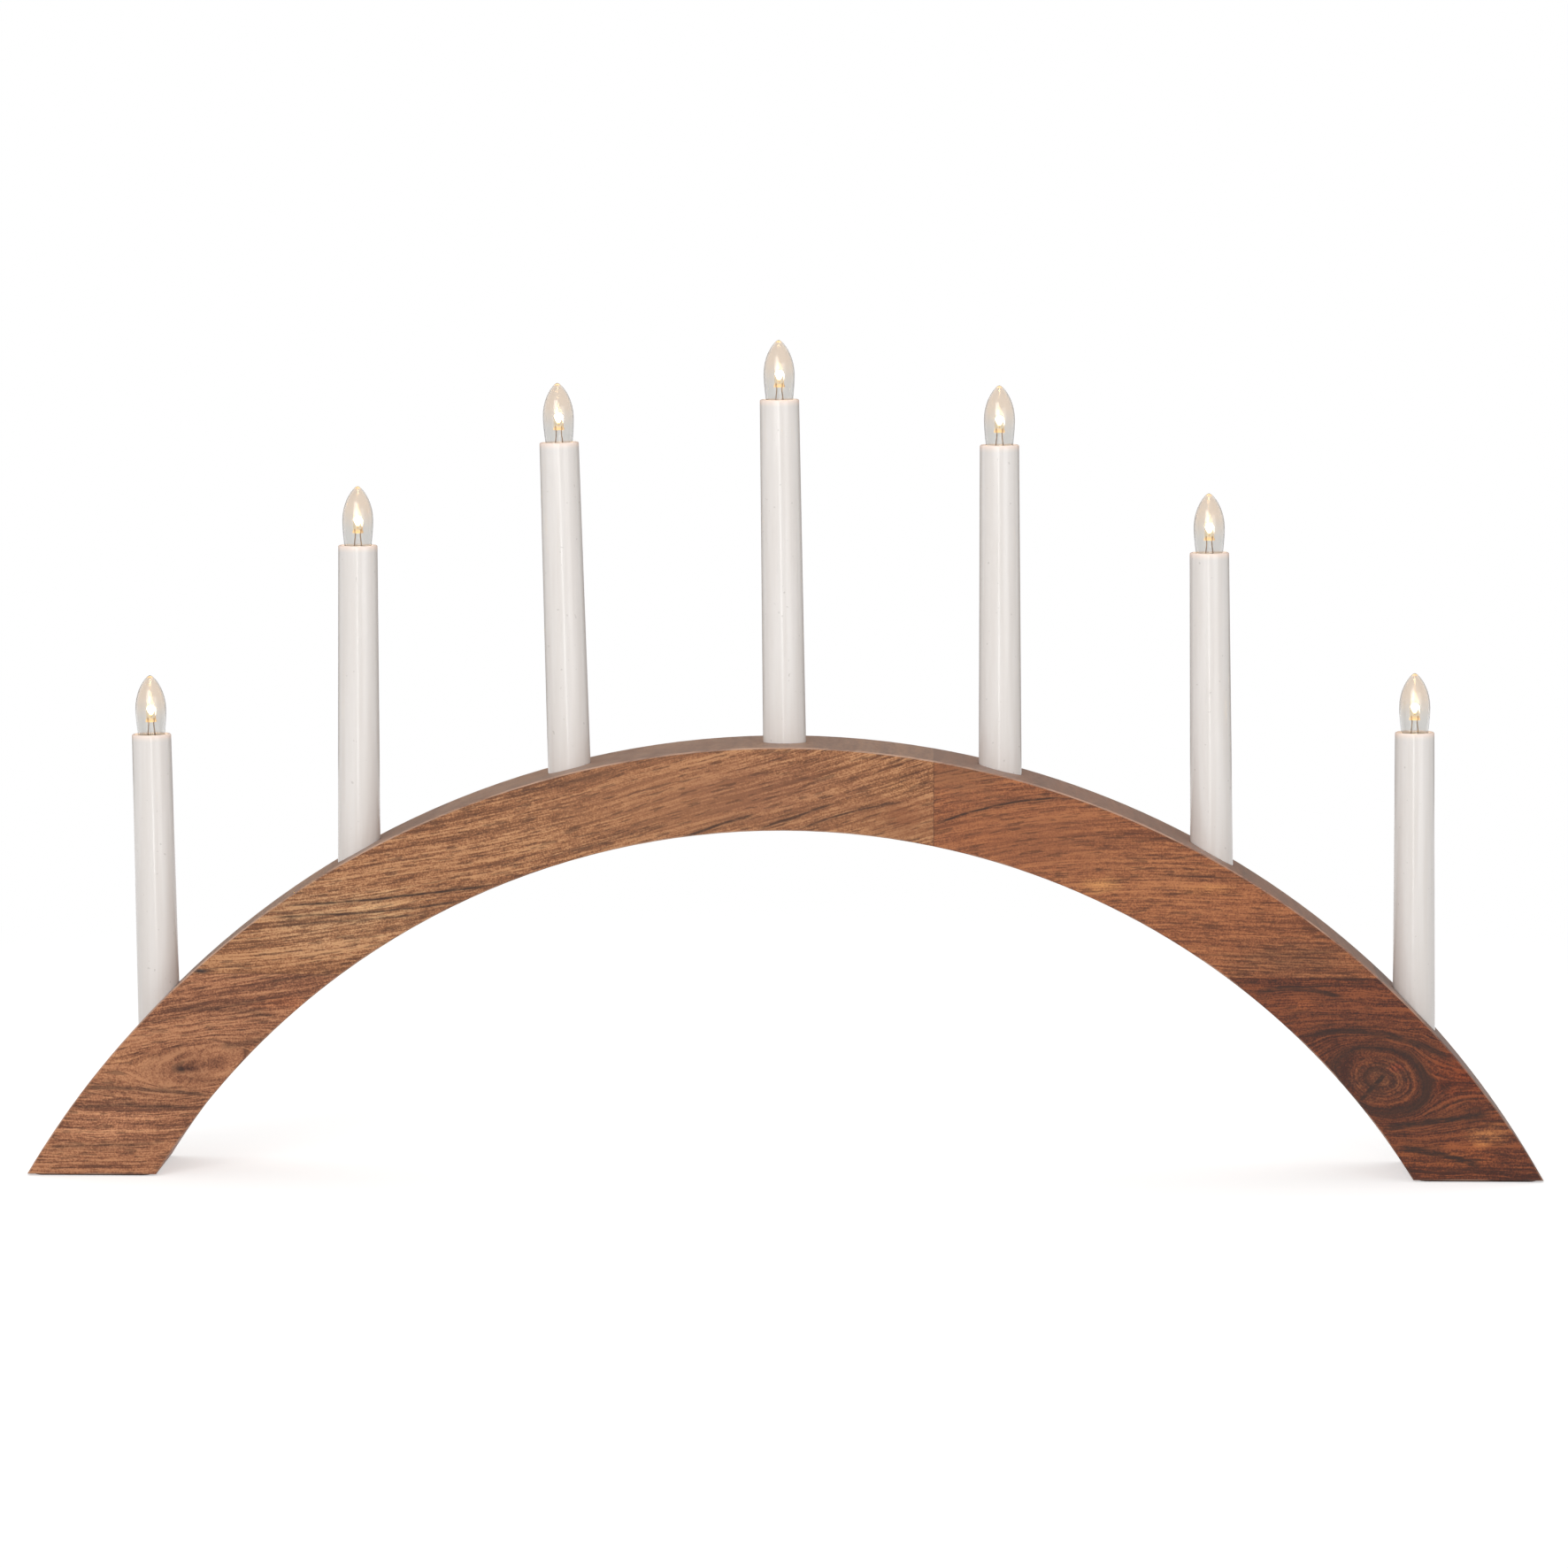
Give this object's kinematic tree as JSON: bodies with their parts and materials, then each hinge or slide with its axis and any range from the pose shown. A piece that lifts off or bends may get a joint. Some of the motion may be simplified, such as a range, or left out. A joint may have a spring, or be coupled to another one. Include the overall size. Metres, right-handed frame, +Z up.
{
  "type": "electric candle arch",
  "caption": "Low wooden arch on two flat feet that carries upright electric candles in drilled seats; each candle has a white sleeve and a clear screw-in bulb.",
  "frame": {"origin": "on the standing surface, midway between the feet, at mid depth", "axes": "+X along the arch from the left foot to the right foot, +Z up, the front faces -Y"},
  "size_m": [0.79, 0.065, 0.435],
  "materials": {
    "walnut": "satin lacquer",
    "felt": "felt",
    "sleeve_plastic": "gloss",
    "holder_plastic": "matte",
    "brass": "plain",
    "cap_metal": "nickel plate",
    "insulator": "gloss",
    "solder": "solder",
    "clear_bulb": "clear",
    "led": "clear lens",
    "wire_sheath": "matte",
    "gland_rubber": "matte"
  },
  "bodies": {
    "arch": {"leg_left": "walnut", "leg_right": "walnut", "crown_left": "walnut", "crown_right": "walnut", "channel_cover": "walnut", "foot_pads": "felt", "cover_screws": "brass", "cord_gland": "gland_rubber", "wiring": "wire_sheath", "screw_shells": "brass", "contact_strips": "brass", "candle_sleeve_1": "sleeve_plastic", "lamp_holder_1": "holder_plastic", "candle_sleeve_2": "sleeve_plastic", "lamp_holder_2": "holder_plastic", "candle_sleeve_3": "sleeve_plastic", "lamp_holder_3": "holder_plastic", "candle_sleeve_4": "sleeve_plastic", "lamp_holder_4": "holder_plastic", "candle_sleeve_5": "sleeve_plastic", "lamp_holder_5": "holder_plastic", "candle_sleeve_6": "sleeve_plastic", "lamp_holder_6": "holder_plastic", "candle_sleeve_7": "sleeve_plastic", "lamp_holder_7": "holder_plastic"},
    "bulb_1_tip": {"bulb_tip_1": "solder"},
    "bulb_1": {"bulb_cap_1": "cap_metal", "cap_insulator_1": "insulator", "bulb_envelope_1": "clear_bulb", "led_1": "led"},
    "bulb_2_tip": {"bulb_tip_2": "solder"},
    "bulb_2": {"bulb_cap_2": "cap_metal", "cap_insulator_2": "insulator", "bulb_envelope_2": "clear_bulb", "led_2": "led"},
    "bulb_3_tip": {"bulb_tip_3": "solder"},
    "bulb_3": {"bulb_cap_3": "cap_metal", "cap_insulator_3": "insulator", "bulb_envelope_3": "clear_bulb", "led_3": "led"},
    "bulb_4_tip": {"bulb_tip_4": "solder"},
    "bulb_4": {"bulb_cap_4": "cap_metal", "cap_insulator_4": "insulator", "bulb_envelope_4": "clear_bulb", "led_4": "led"},
    "bulb_5_tip": {"bulb_tip_5": "solder"},
    "bulb_5": {"bulb_cap_5": "cap_metal", "cap_insulator_5": "insulator", "bulb_envelope_5": "clear_bulb", "led_5": "led"},
    "bulb_6_tip": {"bulb_tip_6": "solder"},
    "bulb_6": {"bulb_cap_6": "cap_metal", "cap_insulator_6": "insulator", "bulb_envelope_6": "clear_bulb", "led_6": "led"},
    "bulb_7_tip": {"bulb_tip_7": "solder"},
    "bulb_7": {"bulb_cap_7": "cap_metal", "cap_insulator_7": "insulator", "bulb_envelope_7": "clear_bulb", "led_7": "led"}
  },
  "joints": [
    {"name": "bulb_1_lift", "type": "slide", "parent": "arch", "child": "bulb_1_tip", "axis": [-0.0162, 0, 0.9999], "range_m": [0, 0.00544]},
    {"name": "bulb_1_turn", "type": "hinge", "parent": "bulb_1_tip", "child": "bulb_1", "pos_m": [-0.33151, 0, 0.22903], "axis": [-0.0162, 0, 0.9999], "range_deg": [0, 1080]},
    {"name": "bulb_2_lift", "type": "slide", "parent": "arch", "child": "bulb_2_tip", "axis": [0.0031, 0, 1], "range_m": [0, 0.00544]},
    {"name": "bulb_2_turn", "type": "hinge", "parent": "bulb_2_tip", "child": "bulb_2", "pos_m": [-0.22244, 0, 0.32815], "axis": [0.0031, 0, 1], "range_deg": [0, 1080]},
    {"name": "bulb_3_lift", "type": "slide", "parent": "arch", "child": "bulb_3_tip", "axis": [-0.0276, 0, 0.9996], "range_m": [0, 0.00544]},
    {"name": "bulb_3_turn", "type": "hinge", "parent": "bulb_3_tip", "child": "bulb_3", "pos_m": [-0.11721, 0, 0.38194], "axis": [-0.0276, 0, 0.9996], "range_deg": [0, 1080]},
    {"name": "bulb_4_lift", "type": "slide", "parent": "arch", "child": "bulb_4_tip", "axis": [-0.0148, 0, 0.9999], "range_m": [0, 0.00544]},
    {"name": "bulb_4_turn", "type": "hinge", "parent": "bulb_4_tip", "child": "bulb_4", "pos_m": [-0.00265, 0, 0.40428], "axis": [-0.0148, 0, 0.9999], "range_deg": [0, 1080]},
    {"name": "bulb_5_lift", "type": "slide", "parent": "arch", "child": "bulb_5_tip", "axis": [-0.0059, 0, 1], "range_m": [0, 0.00544]},
    {"name": "bulb_5_turn", "type": "hinge", "parent": "bulb_5_tip", "child": "bulb_5", "pos_m": [0.11152, 0, 0.3809], "axis": [-0.0059, 0, 1], "range_deg": [0, 1080]},
    {"name": "bulb_6_lift", "type": "slide", "parent": "arch", "child": "bulb_6_tip", "axis": [-0.0147, 0, 0.9999], "range_m": [0, 0.00544]},
    {"name": "bulb_6_turn", "type": "hinge", "parent": "bulb_6_tip", "child": "bulb_6", "pos_m": [0.22065, 0, 0.32513], "axis": [-0.0147, 0, 0.9999], "range_deg": [0, 1080]},
    {"name": "bulb_7_lift", "type": "slide", "parent": "arch", "child": "bulb_7_tip", "axis": [-0.0082, 0, 1], "range_m": [0, 0.00544]},
    {"name": "bulb_7_turn", "type": "hinge", "parent": "bulb_7_tip", "child": "bulb_7", "pos_m": [0.32801, 0, 0.23175], "axis": [-0.0082, 0, 1], "range_deg": [0, 1080]}
  ],
  "couplings": [
    {"joint": "bulb_1_turn", "follows": "bulb_1_lift", "rad_per_m": 3463.7},
    {"joint": "bulb_2_turn", "follows": "bulb_2_lift", "rad_per_m": 3463.7},
    {"joint": "bulb_3_turn", "follows": "bulb_3_lift", "rad_per_m": 3463.7},
    {"joint": "bulb_4_turn", "follows": "bulb_4_lift", "rad_per_m": 3463.7},
    {"joint": "bulb_5_turn", "follows": "bulb_5_lift", "rad_per_m": 3463.7},
    {"joint": "bulb_6_turn", "follows": "bulb_6_lift", "rad_per_m": 3463.7},
    {"joint": "bulb_7_turn", "follows": "bulb_7_lift", "rad_per_m": 3463.7}
  ]
}
